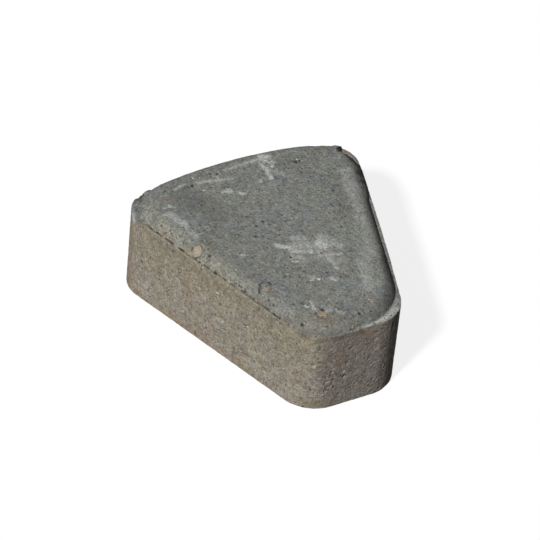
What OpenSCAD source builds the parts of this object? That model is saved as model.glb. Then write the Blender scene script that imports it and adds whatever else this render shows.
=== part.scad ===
// Wedge-shaped paving stone that closes a ring with others like it.
//
// One piece of pressed concrete. Seen from above it is a slice of a ring: a short
// straight narrow end, two straight flanks that run out from the ring's centre, a
// wide end curved about that same centre, and well rounded upright corners. The
// bed face is flat. On top, the press leaves a raised field with a rounded
// shoulder, which falls to a narrow flat ledge all round. The field's corners are
// rounder than the stone's own, so the ledge is widest there.
//
// Millimetres, +Z up. The origin is the centre of the stone's length and width on
// the bed face, and the narrow end faces -Y.

/* [Stone] */
// Thickness from the bed face to the top of the raised field
stone_h = 60; // [40:1:100]
// Length from the narrow end to the crown of the wide end
stone_len = 162; // [130:1:240]
// Width of the narrow end, between its corners before they are rounded
narrow_w = 60; // [50:1:90]
// Number of stones that close one ring
ring_stones = 10; // [8:1:14]
// Radius of the two upright corners at the narrow end
narrow_corner_r = 23; // [5:0.5:30]
// Radius of the two upright corners at the wide end
wide_corner_r = 20; // [5:0.5:30]

/* [Raised field] */
// Height of the field above the ledge
field_rise = 6; // [2:0.5:8]
// Width of the ledge along the straight sides
ledge_w = 1.8; // [1:0.1:6]
// Width of the rounded shoulder, from its foot to the flat of the field
shoulder_w = 8; // [8:0.5:14]
// Radius of the field's foot at the narrow end's corners
field_narrow_r = 35; // [15:0.5:45]
// Radius of the field's foot at the wide end's corners
field_wide_r = 25; // [15:0.5:40]

/* [Hidden] */
$fn = 96;
// Facets of a full turn on the field's shoulder, and on its long curved end.
field_fn = 48;
crown_fn = 180;

// Half the angle between the flanks, and the ring's centre that they point to.
wedge_a = 180 / ring_stones;
ring_y = -narrow_w / 2 / tan(wedge_a);
ring_r = stone_len - ring_y;

// The ledge's height, and the arc of the shoulder: level with the field at its
// top, and steep where it meets the ledge.
ledge_h = stone_h - field_rise;
shoulder_r = (pow(shoulder_w, 2) + pow(field_rise, 2)) / (2 * field_rise);

// A field radius is held to the most that the narrow end has room for.
narrow_room = (narrow_w / 2 + ledge_w * tan(wedge_a) - ledge_w / cos(wedge_a)) * tan(45 + wedge_a / 2);
foot_narrow_r = min(field_narrow_r, narrow_room - 0.5);

// Depth to which the field is rooted in the body.
root_d = 4;
// How far a cutting shape runs past what it cuts.
over = 5;
// A corner circle is this much over size, so that it crosses the sides that it
// meets, where a circle that only grazes them would leave slivers.
graze = 0.002;

function toward(a) = [cos(a), sin(a)];

// Centre of the right-hand narrow corner, of an outline moved inwards by inset.
function narrow_c(inset, r) =
    [(inset + r - ring_y) * tan(wedge_a) - (inset + r) / cos(wedge_a), inset + r];

// Direction from the ring's centre to the right-hand wide corner's centre.
function wide_a(inset, r) = 90 - wedge_a + asin((inset + r) / (ring_r - inset - r));

// Centre of the right-hand wide corner.
function wide_c(inset, r) = [0, ring_y] + (ring_r - inset - r) * toward(wide_a(inset, r));

// Tangent points of the right-hand side, from the narrow end to the wide arc.
function side_points(inset, nr, wr) = [
    narrow_c(inset, nr) + nr * toward(-90),
    narrow_c(inset, nr) + nr * toward(-wedge_a),
    wide_c(inset, wr) + wr * toward(-wedge_a),
    wide_c(inset, wr) + wr * toward(wide_a(inset, wr))
];

function mirrored(pts) = [for (i = [len(pts) - 1 : -1 : 0]) [-pts[i][0], pts[i][1]]];

// Both halves of something drawn for the right-hand side.
module both_sides() {
    children();
    mirror([1, 0, 0]) children();
}

// The straight-edged part of the outline, through its tangent points.
module straight_part(inset, nr, wr) {
    pts = side_points(inset, nr, wr);
    polygon(concat(pts, mirrored(pts)));
}

// The curved strip between the wide arc and its chord.
module crown_part(inset, wr) {
    a = wide_a(inset, wr);
    r = ring_r - inset;
    reach = r / cos(90 - a) + over;
    pts = [[0, ring_y] + (r - 2 * over) * toward(a), [0, ring_y] + reach * toward(a)];
    intersection() {
        translate([0, ring_y]) circle(r = r, $fn = 360);
        polygon(concat(pts, mirrored(pts)));
    }
}

// The stone's outline, moved inwards by inset, with the given corner radii.
module outline(inset, nr, wr) {
    straight_part(inset, nr, wr);
    crown_part(inset, wr);
    both_sides() {
        translate(narrow_c(inset, nr)) circle(r = nr + graze);
        translate(wide_c(inset, wr)) circle(r = wr + graze);
    }
}

// Section of the field from the axis of a corner out to its foot at reach.
module field_section(reach) {
    flat = reach - shoulder_w;
    translate([0, -root_d]) square([flat, root_d + field_rise]);
    translate([flat, -root_d]) square([shoulder_w, root_d]);
    intersection() {
        translate([flat, field_rise - shoulder_r]) circle(r = shoulder_r);
        translate([flat, 0]) square([shoulder_w, field_rise]);
    }
}

// One corner of the field: its section turned about the corner's centre.
module field_corner(centre, r) {
    translate(centre) rotate_extrude() field_section(r);
}

// The field's curved end: its section turned about the ring's centre.
module field_crown() {
    a = wide_a(ledge_w, field_wide_r);
    translate([0, ring_y]) rotate(a) rotate_extrude(angle = 180 - 2 * a, $fn = crown_fn)
        intersection() {
            field_section(ring_r - ledge_w);
            translate([ring_r - ledge_w - field_wide_r, -root_d])
                square([field_wide_r, root_d + field_rise]);
        }
}

// The raised field: the skin drawn tight over its four corners and its crown.
module field() {
    hull() {
        field_crown($fn = field_fn);
        both_sides() {
            field_corner(narrow_c(ledge_w, foot_narrow_r), foot_narrow_r, $fn = field_fn);
            field_corner(wide_c(ledge_w, field_wide_r), field_wide_r, $fn = field_fn);
        }
    }
}

// The stone: its upright body up to the ledge, and the raised field on it.
module paving_stone() {
    color([0.46, 0.45, 0.43]) translate([0, -stone_len / 2, 0]) {
        linear_extrude(ledge_h) outline(0, narrow_corner_r, wide_corner_r);
        translate([0, 0, ledge_h]) field();
    }
}

paving_stone();
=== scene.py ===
"""Looks of a wedge paving stone: one pressed concrete block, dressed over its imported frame.

Shapes are worked out in millimetres and scaled to metres as the last step of each mesh. The
stone lies on its bed face, with its narrow end towards -Y and its curved wide end towards +Y.
The camera sees the top, the left-hand flank and the narrow end, so the stone's own marks are there.
"""

import logging
import math
import random
from collections.abc import Callable, Iterable, Iterator, Sequence
from dataclasses import astuple, dataclass, field
from enum import Enum
from functools import cached_property

import bmesh
import bpy
from bmesh.types import BMesh, BMVert
from bpy.types import ID, ColorRamp, Material, Node, NodeSocket, Object, World
from mathutils import Matrix, Vector, kdtree, noise


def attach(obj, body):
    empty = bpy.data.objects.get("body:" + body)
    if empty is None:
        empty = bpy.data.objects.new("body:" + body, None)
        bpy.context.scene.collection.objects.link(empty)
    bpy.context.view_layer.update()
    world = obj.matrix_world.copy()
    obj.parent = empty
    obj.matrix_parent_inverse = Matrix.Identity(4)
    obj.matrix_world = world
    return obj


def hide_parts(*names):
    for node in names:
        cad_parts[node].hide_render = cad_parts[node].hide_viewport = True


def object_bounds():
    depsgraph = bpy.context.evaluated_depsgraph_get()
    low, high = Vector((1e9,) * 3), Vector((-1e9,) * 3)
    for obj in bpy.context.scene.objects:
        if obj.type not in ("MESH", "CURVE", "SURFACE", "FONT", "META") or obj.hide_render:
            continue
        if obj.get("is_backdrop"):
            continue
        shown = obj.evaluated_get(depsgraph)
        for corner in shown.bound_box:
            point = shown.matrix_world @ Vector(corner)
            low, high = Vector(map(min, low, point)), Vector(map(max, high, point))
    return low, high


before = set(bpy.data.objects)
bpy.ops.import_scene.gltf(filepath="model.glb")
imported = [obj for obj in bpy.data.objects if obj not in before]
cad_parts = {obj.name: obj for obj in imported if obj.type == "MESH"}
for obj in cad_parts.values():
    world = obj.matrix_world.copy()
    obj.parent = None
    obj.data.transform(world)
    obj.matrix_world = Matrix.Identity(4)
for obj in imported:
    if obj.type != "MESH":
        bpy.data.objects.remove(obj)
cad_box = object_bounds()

log = logging.getLogger("paving_stone")

# One millimetre in metres, and what counts as one place, in millimetres.
MM = 0.001
SAME = 0.001
NODE = "paving_stone"
BODY = "root"
SLOT = "pressed_concrete"

Triple = tuple[float, float, float]
Colour = Triple
Pair = tuple[float, float]
Rows = tuple[tuple[float, ...], ...]
# Takes a share of a stretch, and gives the place there.
Path = Callable[[float], Vector]


def mix(a: float, b: float, t: float) -> float:
    """Return the value a share t of the way from a to b."""
    return a + (b - a) * t


def ease(low: float, high: float, x: float) -> float:
    """Return a smooth step of x, from 0 at low to 1 at high."""
    t = min(max((x - low) / (high - low), 0.0), 1.0)
    return t * t * (3 - 2 * t)


def waves(at: Vector, size: float, shift: float = 0.0) -> float:
    """Return smooth noise between -1 and 1, with features of a size in millimetres."""
    return noise.noise(at / size + Vector((shift, -shift, 2 * shift)))


# ---- Form ------------------------------------


@dataclass(frozen=True)
class Contour:
    """One level line of the stone: how far inside the plan it runs, and how high."""

    inset: float
    narrow_r: float
    wide_r: float
    z: float

    def towards(self, other: "Contour", t: float) -> "Contour":
        """Return the contour a share t of the way to another one."""
        return Contour(*(mix(a, b, t) for a, b in zip(astuple(self), astuple(other))))

    def inside(self, by: float, z: float) -> "Contour":
        """Return the contour that runs inside this one by a distance, at a height."""
        return Contour(self.inset + by, self.narrow_r - by, self.wide_r - by, z)


@dataclass(frozen=True)
class RingSlice:
    """Plan of the stone: a slice of a ring, between two flanks that point to its centre."""

    length: float = 162.0
    narrow_width: float = 60.0
    stones: int = 10

    @property
    def lean(self) -> float:
        """Angle of a flank to the stone's long axis."""
        return math.pi / self.stones

    @property
    def front(self) -> float:
        """Place of the narrow end along Y."""
        return -self.length / 2

    @property
    def centre(self) -> Vector:
        """Centre of the ring."""
        return Vector((0, self.front - self.narrow_width / 2 / math.tan(self.lean)))

    @property
    def radius(self) -> float:
        """Radius of the curved wide end."""
        return self.length / 2 - self.centre.y

    def narrow_corner(self, line: Contour) -> Vector:
        """Return the centre of the right-hand corner at the narrow end."""
        in_by = line.inset + line.narrow_r
        y = self.front + in_by
        return Vector(((y - self.centre.y) * math.tan(self.lean) - in_by / math.cos(self.lean), y))

    def wide_turn(self, line: Contour) -> float:
        """Return the direction from the ring's centre to the right-hand wide corner."""
        in_by = line.inset + line.wide_r
        return math.pi / 2 - self.lean + math.asin(in_by / (self.radius - in_by))

    def wide_corner(self, line: Contour) -> Vector:
        """Return the centre of the right-hand corner at the wide end."""
        reach = self.radius - line.inset - line.wide_r
        return self.centre + reach * unit(self.wide_turn(line))

    def depth(self, spot: Vector, line: Contour) -> float:
        """Return how far a plan point lies inside a contour.

        Args:
            spot: The point in plan.
            line: The contour.

        Returns:
            The distance to the contour, negative outside it.
        """
        right = Vector((abs(spot.x), spot.y))
        off = right - self.centre
        flank = off.y * math.sin(self.lean) - off.x * math.cos(self.lean)
        for corner, r, low, high in (
            (self.narrow_corner(line), line.narrow_r, -math.pi / 2, -self.lean),
            (self.wide_corner(line), line.wide_r, -self.lean, self.wide_turn(line)),
        ):
            out = right - corner
            if low < math.atan2(out.y, out.x) < high:
                return r - out.length
        return min(spot.y - self.front, flank, self.radius - off.length) - line.inset

    def stretches(self, line: Contour) -> list[tuple[float, Path]]:
        """Return the stretches of half a contour, by way of the right-hand flank.

        Args:
            line: The contour.

        Returns:
            The length and the path of the narrow end's half, its corner, the flank, the wide
            corner and the crown's half.
        """
        narrow, wide = self.narrow_corner(line), self.wide_corner(line)
        turn, crown_r = self.wide_turn(line), self.radius - line.inset
        down, out, up = -math.pi / 2, -self.lean, math.pi / 2
        return [
            straight(Vector((0, narrow.y - line.narrow_r)), narrow + line.narrow_r * unit(down)),
            arc(narrow, line.narrow_r, down, out),
            straight(narrow + line.narrow_r * unit(out), wide + line.wide_r * unit(out)),
            arc(wide, line.wide_r, out, turn),
            arc(self.centre, crown_r, turn, up),
        ]

    def loop(self, line: Contour, steps: Sequence[int]) -> list[Vector]:
        """Return a contour's points.

        Args:
            line: The contour.
            steps: How many steps to take on each of its stretches.

        Returns:
            The points from the narrow end's middle round to the same point again.
        """
        paths = [path for _, path in self.stretches(line)]
        half = [path(i / count) for path, count in zip(paths, steps) for i in range(count)]
        crown = self.centre + Vector((0, self.radius - line.inset))
        return [*half, crown, *(Vector((-spot.x, spot.y)) for spot in reversed(half))]


def unit(angle: float) -> Vector:
    """Return the plan direction at an angle from +X."""
    return Vector((math.cos(angle), math.sin(angle)))


def straight(start: Vector, end: Vector) -> tuple[float, Path]:
    """Return the length of a line, and the path that takes a share of it to a point."""
    return (end - start).length, lambda t: start.lerp(end, t)


def arc(centre: Vector, r: float, start: float, end: float) -> tuple[float, Path]:
    """Return the length of an arc, and the path that takes a share of it to a point."""
    return r * (end - start), lambda t: centre + r * unit(mix(start, end, t))


@dataclass(frozen=True)
class Overrun:
    """A stretch where the raised field was pressed nearer to the stone's edge, or farther from it."""

    middle: Pair
    reach: float
    inset: float
    fade: float = 9.0
    ragged: float = 1.5
    ragged_size: float = 5.0

    def share(self, spot: Vector) -> float:
        """Return how much of the overrun a point of the edge takes part in."""
        away = (spot - Vector(self.middle)).length + self.ragged * waves(spot.to_3d(), self.ragged_size)
        return 1 - ease(self.reach - self.fade, self.reach, away)


@dataclass(frozen=True)
class Bow:
    """A slight outward bow of the upright sides, which widens the ledge."""

    middle: Pair
    reach: float
    outward: float
    rise: float
    full: float = 0.2

    def moved(self, spot: Vector, share: float) -> Vector:
        """Return where a share of the bow moves a point of a level line."""
        away = (spot - Vector(self.middle)).length
        out = self.rise * share * (1 - ease(self.full * self.reach, self.reach, away))
        return spot + out * unit(math.radians(self.outward))


@dataclass
class StoneForm:
    """Smooth form of the stone, before its relief."""

    plan: RingSlice = field(default_factory=RingSlice)
    height: float = 60.0
    rise: float = 6.0
    ledge: float = 1.8
    shoulder: float = 8.0
    body_radii: Pair = (23.0, 20.0)
    field_radii: Pair = (35.0, 25.0)
    bed_arris: float = 0.4
    top_arris: float = 0.3
    arris_steps: int = 3
    ledge_steps: int = 4
    pitch: float = 0.74
    bed_pitch: float = 2.2
    rim_gap: float = 0.6
    overruns: tuple[Overrun, ...] = (
        Overrun(middle=(-25.0, -75.0), reach=25.0, inset=0.3),
        Overrun(middle=(66.0, 35.0), reach=21.0, inset=-0.3, fade=14.0),
        Overrun(middle=(68.3, 67.9), reach=5.5, inset=0.4, fade=3.0),
    )
    bows: tuple[Bow, ...] = (Bow(middle=(53.0, -10.0), reach=66.0, outward=-18.0, rise=0.8),)

    @property
    def skin(self) -> Contour:
        """The upright sides' contour, at the ledge's height."""
        return Contour(0.0, *self.body_radii, self.height - self.rise)

    @property
    def foot(self) -> Contour:
        """The contour at which the raised field stands on the ledge."""
        return Contour(self.ledge, *self.field_radii, self.skin.z)

    def crowded(self, overrun: Overrun) -> Contour:
        """Return the field's foot where it overruns the ledge."""
        return self.skin.inside(overrun.inset, self.skin.z)

    def upright_rows(self) -> list[Contour]:
        """Return the level lines of the sides with both arrises, from the bed up."""
        skin, bed, r = self.skin, self.bed_arris, self.top_arris
        turns = [math.pi / 2 * i / self.arris_steps for i in range(self.arris_steps + 1)]
        rows = [skin.inside(bed * (1 - math.sin(a)), bed * (1 - math.cos(a))) for a in turns]
        top = skin.z - r
        count = round((top - bed) / self.pitch)
        rows += [skin.inside(0, mix(bed, top, i / count)) for i in range(1, count + 1)]
        return rows + [skin.inside(r * (1 - math.cos(a)), top + r * math.sin(a)) for a in turns[1:]]

    def field_rows(self, foot: Contour) -> list[Contour]:
        """Return the level lines of the ledge and of the rounded shoulder.

        Args:
            foot: The contour at which the shoulder stands on the ledge.

        Returns:
            The lines, from the ledge's outer edge up to the flat of the top.
        """
        start = self.skin.inside(self.top_arris, self.skin.z)
        rows = [start.towards(foot, i / self.ledge_steps) for i in range(1, self.ledge_steps + 1)]
        r = (self.shoulder**2 + self.rise**2) / (2 * self.rise)
        steepest = math.asin(self.shoulder / r)
        count = round(r * steepest / self.pitch)
        for i in range(1, count + 1):
            slope = steepest * (1 - i / count)
            up = self.rise - r * (1 - math.cos(slope))
            rows.append(foot.inside(self.shoulder - r * math.sin(slope), foot.z + up))
        return rows

    def build(self) -> BMesh:
        """Build the closed form.

        Returns:
            A mesh in millimetres, whose faces point outwards.
        """
        upright, usual = self.upright_rows(), self.field_rows(self.foot)
        rows = upright + usual
        steps = [max(2, round(length / self.pitch)) for length, _ in self.plan.stretches(self.skin)]
        edge = self.plan.loop(self.skin, steps)
        loops = [self.plan.loop(row, steps) for row in rows]
        for overrun in self.overruns:
            shares = [overrun.share(spot) for spot in edge]
            for k, row in enumerate(self.field_rows(self.crowded(overrun)), len(upright)):
                crowd = self.plan.loop(row, steps)
                loops[k] = [a.lerp(b, t) for a, b, t in zip(loops[k], crowd, shares)]
        foot_row = len(upright) + self.ledge_steps - 1
        for bow in self.bows:
            for k in range(foot_row):
                share = min(1.0, (foot_row - k) / self.ledge_steps)
                loops[k] = [bow.moved(spot, share) for spot in loops[k]]
        around, up = len(edge) - 1, len(rows) - 1
        bm = bmesh.new()
        bmesh.ops.create_grid(bm, x_segments=around, y_segments=up, size=1.0)
        for v in bm.verts:
            i, j = round((v.co.x + 1) / 2 * around), round((v.co.y + 1) / 2 * up)
            v.co = (*loops[j][i], rows[j].z)
        bmesh.ops.remove_doubles(bm, verts=bm.verts, dist=SAME)
        self.close(bm, loops[0], rows[0], self.bed_pitch)
        self.close(bm, loops[-1], rows[-1], self.pitch)
        bmesh.ops.recalc_face_normals(bm, faces=bm.faces)
        return bm

    def close(self, bm: BMesh, loop: Sequence[Vector], rim: Contour, pitch: float) -> None:
        """Close an open end with an even grid of faces.

        Args:
            bm: The mesh to close.
            loop: The points of the open end.
            rim: The contour that they follow, or run just outside.
            pitch: The grid's spacing.
        """
        open_edges = [e for e in bm.edges if e.is_boundary and abs(e.verts[0].co.z - rim.z) < SAME]
        edge = kdtree.KDTree(len(loop))
        for i, spot in enumerate(loop):
            edge.insert(spot.to_3d(), i)
        edge.balance()
        half = max(spot.length for spot in loop)
        cells = round(2 * half / pitch)
        made = bmesh.ops.create_grid(bm, x_segments=cells, y_segments=cells, size=half)["verts"]
        stray = []
        for v in made:
            nearest, _, _ = edge.find(v.co)
            if self.plan.depth(v.co, rim) - self.plan.depth(nearest, rim) < self.rim_gap * pitch:
                stray.append(v)
        while stray:
            bmesh.ops.delete(bm, geom=stray, context="VERTS")
            made = [v for v in made if v.is_valid]
            stray = [v for v in made if sum(len(e.link_faces) < 2 for e in v.link_edges) not in (0, 2)]
        bmesh.ops.translate(bm, vec=(0, 0, rim.z), verts=made)
        inner = dict.fromkeys(e for v in made for e in v.link_edges if e.is_boundary)
        bmesh.ops.triangle_fill(bm, use_beauty=True, use_dissolve=False, edges=[*open_edges, *inner])


# ---- Relief ----------------------------------


class Mark(Enum):
    """What a point of the surface carries, as a value of the mesh that the finish reads."""

    FACING = "facing"
    FILM = "film"
    # Hollows, which the finish darkens with painted shade and dirt.
    HOLLOW = "hollow"
    PALE = "pale"
    WARM = "warm"
    # Dark casts, and painted shade on shoulders that turn from the light, on breaks and below the ledge.
    DUSKY = "dusky"
    PEBBLE = "pebble"


class Skin:
    """The stone's surface while it is worked on."""

    def __init__(self, bm: BMesh) -> None:
        """Note where each point lies and which way it faces, before anything moves it.

        Args:
            bm: A smooth closed mesh in millimetres.
        """
        bm.normal_update()
        self.bm = bm
        self.layers = {mark: bm.verts.layers.float.new(mark.value) for mark in Mark}
        self.verts = list(bm.verts)
        self.outward = [v.normal.copy() for v in self.verts]
        self.sunk = [0.0] * len(self.verts)
        self.tree = kdtree.KDTree(len(self.verts))
        for i, v in enumerate(self.verts):
            self.tree.insert(v.co, i)
        self.tree.balance()

    def around(self, place: Vector, reach: float) -> Iterator[tuple[int, BMVert]]:
        """Yield the points within reach of a place, with their numbers."""
        for _, i, _ in self.tree.find_range(place, reach):
            yield i, self.verts[i]

    def sink(self, i: int, by: float) -> None:
        """Sink a point below the smooth form, or raise it for a negative distance."""
        self.sunk[i] += by

    def mark(self, v: BMVert, mark: Mark, value: float) -> None:
        """Give a point at least a value of a mark."""
        layer = self.layers[mark]
        v[layer] = max(v[layer], min(value, 1.0))

    def settle(self, least: float) -> None:
        """Move every point to its depth, at least a little below the smooth form."""
        for v, outward, by in zip(self.verts, self.outward, self.sunk):
            v.co -= outward * max(by, least)


@dataclass(frozen=True)
class Roughness:
    """Unevenness of the whole surface, as depths below the smooth form and the sizes of its features."""

    mean: float = 0.07
    swell: float = 0.07
    swell_size: float = 26.0
    lumps: float = 0.09
    lump_size: float = 5.5
    grain: float = 0.10
    grain_size: float = 1.9
    drag: float = 0.05
    drag_stretch: float = 0.12
    arris_wear: float = 0.12
    arris_width: float = 2.5
    arris_chatter: float = 3.0

    def apply(self, skin: Skin, form: StoneForm) -> None:
        """Roughen the surface, its upright sides a little more than its top.

        Args:
            skin: The surface.
            form: The form that it covers.
        """
        for i, v in enumerate(skin.verts):
            at = v.co
            upright = 1 - abs(v.normal.z)
            drawn = Vector((at.x, at.y, at.z * self.drag_stretch))
            depth = (
                self.mean
                + self.swell * waves(at, self.swell_size)
                + self.lumps * (1 + 0.5 * upright) * waves(at, self.lump_size, 3.0)
                + self.grain * (1 + 0.4 * upright) * waves(at, self.grain_size, 5.0)
                + self.drag * (waves(drawn, self.grain_size, 7.0) * upright)
            )
            rim = math.hypot(form.plan.depth(at.xy, form.skin), at.z - form.skin.z)
            if rim < self.arris_width:
                worn = ease(self.arris_width, 0.0, rim)
                depth += self.arris_wear * worn * (0.6 + waves(at, self.arris_chatter, 9.0))
            skin.sink(i, depth)


@dataclass(frozen=True)
class Crease:
    """The dark, broken line at the raised field's foot, cut in and darkened with painted shade and dirt,
    and the crumbly edge outside it.
    """

    depth: float = 0.8
    width: float = 0.42
    wander: float = 0.45
    ragged_size: float = 2.4
    crumbs: float = 0.25
    # Heights above the foot: the band of crease and crumbs, and the lowest for the crease itself.
    zone: Pair = (-1.5, 2.0)
    lowest: float = -0.3
    # Where it grows to its full strength across the stone, and its strength elsewhere.
    flank: Pair = (-12.0, -30.0)
    elsewhere: float = 0.2
    # Where the crumbs begin outside the foot, and towards the wide end.
    crumb_inset: Pair = (-0.9, -1.6)
    crumb_end: Pair = (50.0, 40.0)
    # Places along the left-hand flank with the strength there, and the strength past its ends.
    stretches: Rows = (
        (-79, 0.4), (-62, 1), (-51, 1), (-44, 0.8), (-30, 0.9), (-14, 1),
        (8, 0.9), (17, 1), (47, 1), (56, 0.6), (72, 0.5),
    )
    beyond: float = 0.1

    def strength(self, y: float) -> float:
        """Return how strong the crease is along the left-hand flank.

        Args:
            y: The place along the stone.

        Returns:
            The strength, from 0 to 1.
        """
        for (start, low), (end, high) in zip(self.stretches, self.stretches[1:]):
            if start <= y < end:
                return mix(low, high, (y - start) / (end - start))
        return self.beyond

    def apply(self, skin: Skin, form: StoneForm) -> None:
        """Cut the crease along the foot, deepest on the left-hand flank, and darken it with painted shade
        and dirt.

        Args:
            skin: The surface.
            form: The form that it covers.
        """
        for i, v in enumerate(skin.verts):
            up = v.co.z - form.foot.z
            if not self.zone[0] < up < self.zone[1]:
                continue
            near_flank = ease(*self.flank, v.co.x)
            inset = form.plan.depth(v.co.xy, form.foot) + self.wander * waves(v.co, 5.0, 1.0)
            away = math.hypot(inset, max(up, 0.0)) / self.width
            strength = mix(self.elsewhere, self.strength(v.co.y), near_flank)
            ragged = ease(-0.25, 0.3, waves(v.co, self.ragged_size, 2.0) + 0.7 * strength - 0.5)
            if away < 3.0 and up > self.lowest:
                skin.sink(i, self.depth * math.exp(-(away**2)) * strength * ragged)
                # Painted shade and dirt in the crease.
                skin.mark(v, Mark.HOLLOW, math.exp(-((0.8 * away) ** 2)) * strength * ragged)
            broken = ease(0.1, 0.5, waves(v.co, self.ragged_size, 6.0)) * ease(*self.crumb_inset, inset)
            broken *= ease(*self.crumb_end, v.co.y)
            skin.mark(v, Mark.PALE, self.crumbs * broken * near_flank)


@dataclass(frozen=True)
class Pit:
    """A small ragged hole in the surface."""

    place: Vector
    r: float
    depth: float
    dark: float = 1.0
    reach: float = 1.6
    ragged: float = 0.5
    wall: Pair = (0.35, 1.0)

    def apply(self, skin: Skin) -> None:
        """Sink the hole into the nearest surface, and mark it as a hollow, which the finish darkens with
        painted shade and dirt.

        Args:
            skin: The surface.
        """
        spot, _, _ = skin.tree.find(self.place)
        for i, v in skin.around(spot, self.reach * self.r):
            away = (v.co - spot).length / self.r * (1 + self.ragged * waves(v.co, 0.8 * self.r, 4.0))
            share = 1 - ease(*self.wall, away)
            skin.sink(i, self.depth * share)
            skin.mark(v, Mark.HOLLOW, self.dark * min(1.7 * share, 1.0))


@dataclass(frozen=True)
class Chip:
    """A crumb that broke off an edge, leaving a break darkened with painted shade."""

    place: Vector
    r: float
    depth: float
    wall: Pair = (0.3, 1.0)
    dark: float = 0.7

    def apply(self, skin: Skin) -> None:
        """Take the crumb off, and leave a rough break, darkened with painted shade.

        Args:
            skin: The surface.
        """
        for i, v in skin.around(self.place, self.r):
            away = (v.co - self.place).length / self.r + 0.2 * waves(v.co, 2.0, 6.0)
            share = 1 - ease(*self.wall, away)
            skin.sink(i, self.depth * share * (0.8 + 0.6 * waves(v.co, 1.6, 8.0)))
            # Painted shade on the break.
            skin.mark(v, Mark.DUSKY, self.dark * share)


@dataclass(frozen=True)
class Wear:
    """A patch that is worn smoothly lower."""

    place: Vector
    r: float
    depth: float

    def apply(self, skin: Skin) -> None:
        """Lower the patch."""
        for i, v in skin.around(self.place, self.r):
            skin.sink(i, self.depth * (1 - ease(0.0, 1.0, (v.co - self.place).length / self.r)))


@dataclass(frozen=True)
class Pebble:
    """A coarse grain that shows in the surface, in its own socket."""

    place: Vector
    size: Triple
    tone: float
    turn: float = 0.0
    proud: float = -0.03
    # Depths of its middle and of its socket, and the socket's walls, as shares of its size.
    bury: float = 0.6
    gap: float = 0.25
    inner: Pair = (0.3, 0.9)
    outer: Pair = (1.0, 1.5)
    dark: float = 0.65
    # Half size from which it needs more faces.
    large: float = 1.6

    @property
    def reach(self) -> float:
        """Largest half size."""
        return max(self.size)

    def socket(self, skin: Skin) -> None:
        """Sink a ring around the pebble, and mark it as a hollow, which the finish darkens with painted
        shade and dirt.

        Args:
            skin: The surface.
        """
        for i, v in skin.around(self.place, 1.9 * self.reach):
            away = (v.co - self.place).length / self.reach
            ring = ease(*self.inner, away) * (1 - ease(*self.outer, away))
            skin.sink(i, self.gap * self.reach * ring * (0.6 + 0.8 * waves(v.co, 1.5, 2.0)))
            skin.mark(v, Mark.HOLLOW, self.dark * ring * (0.6 + 0.8 * waves(v.co, 2.2, 6.0)))

    def add(self, skin: Skin) -> None:
        """Set the pebble in its socket, as a rough grain that stays below the smooth form.

        Args:
            skin: The surface.
        """
        _, i, _ = skin.tree.find(self.place)
        up = skin.outward[i]
        stand = up.to_track_quat("Z", "Y").to_matrix().to_4x4() @ Matrix.Rotation(self.turn, 4, "Z")
        spot = self.place + up * (self.proud - self.bury * self.size[2])
        place = Matrix.Translation(spot) @ stand @ Matrix.Diagonal((*self.size, 1))
        cuts = 3 if self.reach > self.large else 2
        made = bmesh.ops.create_icosphere(skin.bm, subdivisions=cuts, radius=1.0, matrix=place)["verts"]
        for v in made:
            out = v.co - spot
            v.co += out * (0.5 * waves(v.co, 0.9 * self.reach, self.tone * 9) + 0.25 * waves(v.co, 0.9))
            nearest, i, _ = skin.tree.find(v.co)
            over = (v.co - nearest).dot(skin.outward[i]) - self.proud
            v.co -= skin.outward[i] * max(over, 0.0)
            v[skin.layers[Mark.PEBBLE]] = self.tone


@dataclass(frozen=True)
class Smear:
    """A long soft patch of a mark, such as a scuff or a stain."""

    start: Vector
    end: Vector
    width: float
    mark: Mark
    strength: float = 1.0
    ragged: float = 0.4
    fade: Pair = (0.2, 1.15)

    def apply(self, skin: Skin) -> None:
        """Mark the patch, with an edge broken up by noise.

        Args:
            skin: The surface.
        """
        run = self.end - self.start
        middle, reach = self.start + run / 2, run.length / 2 + 1.5 * self.width
        for _, v in skin.around(middle, reach):
            along = (v.co - self.start).dot(run) / run.length_squared
            away = (v.co - self.start - run * min(max(along, 0.0), 1.0)).length / self.width
            edge = away + self.ragged * waves(v.co, 0.7 * self.width + 1.0, 2.0)
            skin.mark(v, self.mark, self.strength * (1 - ease(*self.fade, edge)))


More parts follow.
